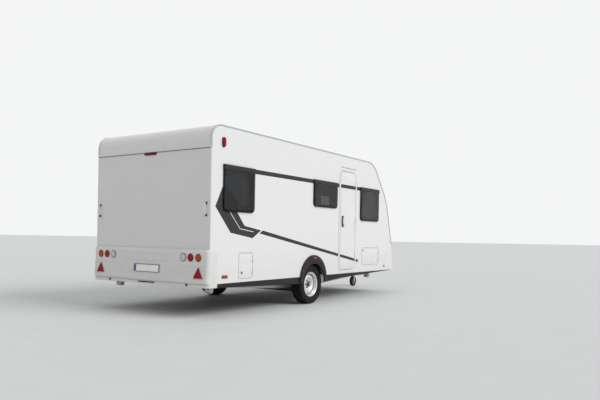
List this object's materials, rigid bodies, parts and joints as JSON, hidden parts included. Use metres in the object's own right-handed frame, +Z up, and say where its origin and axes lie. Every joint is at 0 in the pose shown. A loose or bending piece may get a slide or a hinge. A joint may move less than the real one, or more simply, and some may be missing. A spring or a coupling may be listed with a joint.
{
  "type": "travel caravan",
  "caption": "Touring caravan with hollow cabin, entry door, service flaps, gas locker, free wheels, jockey wheel and corner steadies.",
  "frame": {"origin": "on the ground, centred under the whole caravan with its drawbar", "axes": "+X forwards to the coupling, +Y to the left, +Z up"},
  "size_m": [7.0007, 2.4, 2.71],
  "materials": {
    "galvanised_steel": "dull hot-dip galvanised",
    "axle_paint": "black chassis paint, satin",
    "floor_ply": "plywood with a worn vinyl top",
    "wall_paint": "white coil-coated aluminium, gloss",
    "rear_abs": "white moulded plastic",
    "white_trim": "white moulded plastic, satin",
    "grey_skirt": "dark grey extrusion, satin",
    "arch_plastic": "black moulded plastic",
    "tinted_acrylic": "dark tinted double acrylic",
    "black_rubber": "black rubber",
    "anodised": "satin anodised",
    "amber_lens": "clear amber lens",
    "red_lens": "clear red lens",
    "clear_lens": "clear lens",
    "plate": "blank reflective plate",
    "hitch_steel": "grey painted steel",
    "black_plastic": "black moulded plastic",
    "tyre": "road tyre",
    "rim_silver": "silver painted steel",
    "drum_iron": "bare cast iron"
  },
  "bodies": {
    "caravan_body": {"chassis_frame": "galvanised_steel", "drawbar": "galvanised_steel", "axle": "axle_paint", "floor_panel": "floor_ply", "side_wall_left": "wall_paint", "side_wall_right": "wall_paint", "roof_panel": "wall_paint", "rear_wall": "rear_abs", "front_wall": "wall_paint", "front_locker": "floor_ply", "rear_bumper": "rear_abs", "skirts": "grey_skirt", "wheel_arches": "arch_plastic", "wheel_boxes": "rear_abs", "door_frame": "white_trim", "window_panes": "tinted_acrylic", "window_frames": "black_rubber", "awning_rails": "anodised", "grab_handles": "white_trim", "indicator_lamps": "amber_lens", "tail_lamps": "red_lens", "reversing_lamps": "clear_lens", "warning_triangles": "red_lens", "side_markers": "amber_lens", "number_plate": "plate", "roof_vents": "white_trim", "side_vents": "white_trim", "hitch_housing": "hitch_steel", "hitch_gaiter": "black_rubber", "coupling_head": "hitch_steel", "handbrake_lever": "black_plastic", "jockey_clamp": "galvanised_steel"},
    "door": {"door_leaf": "wall_paint", "door_handle": "black_plastic"},
    "service_flap": {"service_flap": "wall_paint"},
    "storage_flap": {"storage_flap": "wall_paint"},
    "gas_locker_lid": {"gas_locker_lid": "wall_paint"},
    "wheel_left": {"tyre_left": "tyre", "rim_left": "rim_silver", "drum_left": "drum_iron"},
    "wheel_right": {"tyre_right": "tyre", "rim_right": "rim_silver", "drum_right": "drum_iron"},
    "jockey_tube": {"jockey_tube": "galvanised_steel"},
    "jockey_fork": {"jockey_fork": "galvanised_steel"},
    "jockey_wheel": {"jockey_wheel": "black_rubber"},
    "steady_rear_left": {"steady_rear_left": "galvanised_steel"},
    "steady_rear_right": {"steady_rear_right": "galvanised_steel"},
    "steady_front_left": {"steady_front_left": "galvanised_steel"},
    "steady_front_right": {"steady_front_right": "galvanised_steel"}
  },
  "joints": [
    {"name": "wheel_left_spin", "type": "hinge", "parent": "caravan_body", "child": "wheel_left", "pos_m": [-0.88, 1.0365, 0.327], "axis": [0, 1, 0], "continuous": true},
    {"name": "wheel_right_spin", "type": "hinge", "parent": "caravan_body", "child": "wheel_right", "pos_m": [-0.88, -1.0365, 0.327], "axis": [0, 1, 0], "continuous": true},
    {"name": "door_hinge", "type": "hinge", "parent": "caravan_body", "child": "door", "pos_m": [0.554, -1.174, 1.43], "axis": [0, 0, 1], "range_deg": [0, 160]},
    {"name": "service_flap_hinge", "type": "hinge", "parent": "caravan_body", "child": "service_flap", "pos_m": [-2.528, -1.168, 0.7], "axis": [0, 0, 1], "range_deg": [0, 100]},
    {"name": "storage_flap_hinge", "type": "hinge", "parent": "caravan_body", "child": "storage_flap", "pos_m": [1.564, -1.168, 0.766], "axis": [0, 0, 1], "range_deg": [0, 100]},
    {"name": "gas_locker_hinge", "type": "hinge", "parent": "caravan_body", "child": "gas_locker_lid", "pos_m": [2.1776, 0, 1.03655], "axis": [0, -1, 0], "range_deg": [0, 80]},
    {"name": "jockey_slide", "type": "slide", "parent": "caravan_body", "child": "jockey_tube", "axis": [0, 0, 1], "range_m": [0, 0.1]},
    {"name": "jockey_swivel", "type": "hinge", "parent": "jockey_tube", "child": "jockey_fork", "pos_m": [2.965, 0.142, 0.27], "axis": [0, 0, 1], "continuous": true},
    {"name": "jockey_spin", "type": "hinge", "parent": "jockey_fork", "child": "jockey_wheel", "pos_m": [2.92, 0.142, 0.115], "axis": [0, 1, 0], "continuous": true},
    {"name": "steady_rear_left_hinge", "type": "hinge", "parent": "caravan_body", "child": "steady_rear_left", "pos_m": [-2.64, 0.92, 0.404], "axis": [0, -1, 0], "range_deg": [0, 36]},
    {"name": "steady_rear_right_hinge", "type": "hinge", "parent": "caravan_body", "child": "steady_rear_right", "pos_m": [-2.64, -0.92, 0.404], "axis": [0, -1, 0], "range_deg": [0, 36]},
    {"name": "steady_front_left_hinge", "type": "hinge", "parent": "caravan_body", "child": "steady_front_left", "pos_m": [1, 0.92, 0.404], "axis": [0, 1, 0], "range_deg": [0, 36]},
    {"name": "steady_front_right_hinge", "type": "hinge", "parent": "caravan_body", "child": "steady_front_right", "pos_m": [1, -0.92, 0.404], "axis": [0, 1, 0], "range_deg": [0, 36]}
  ]
}
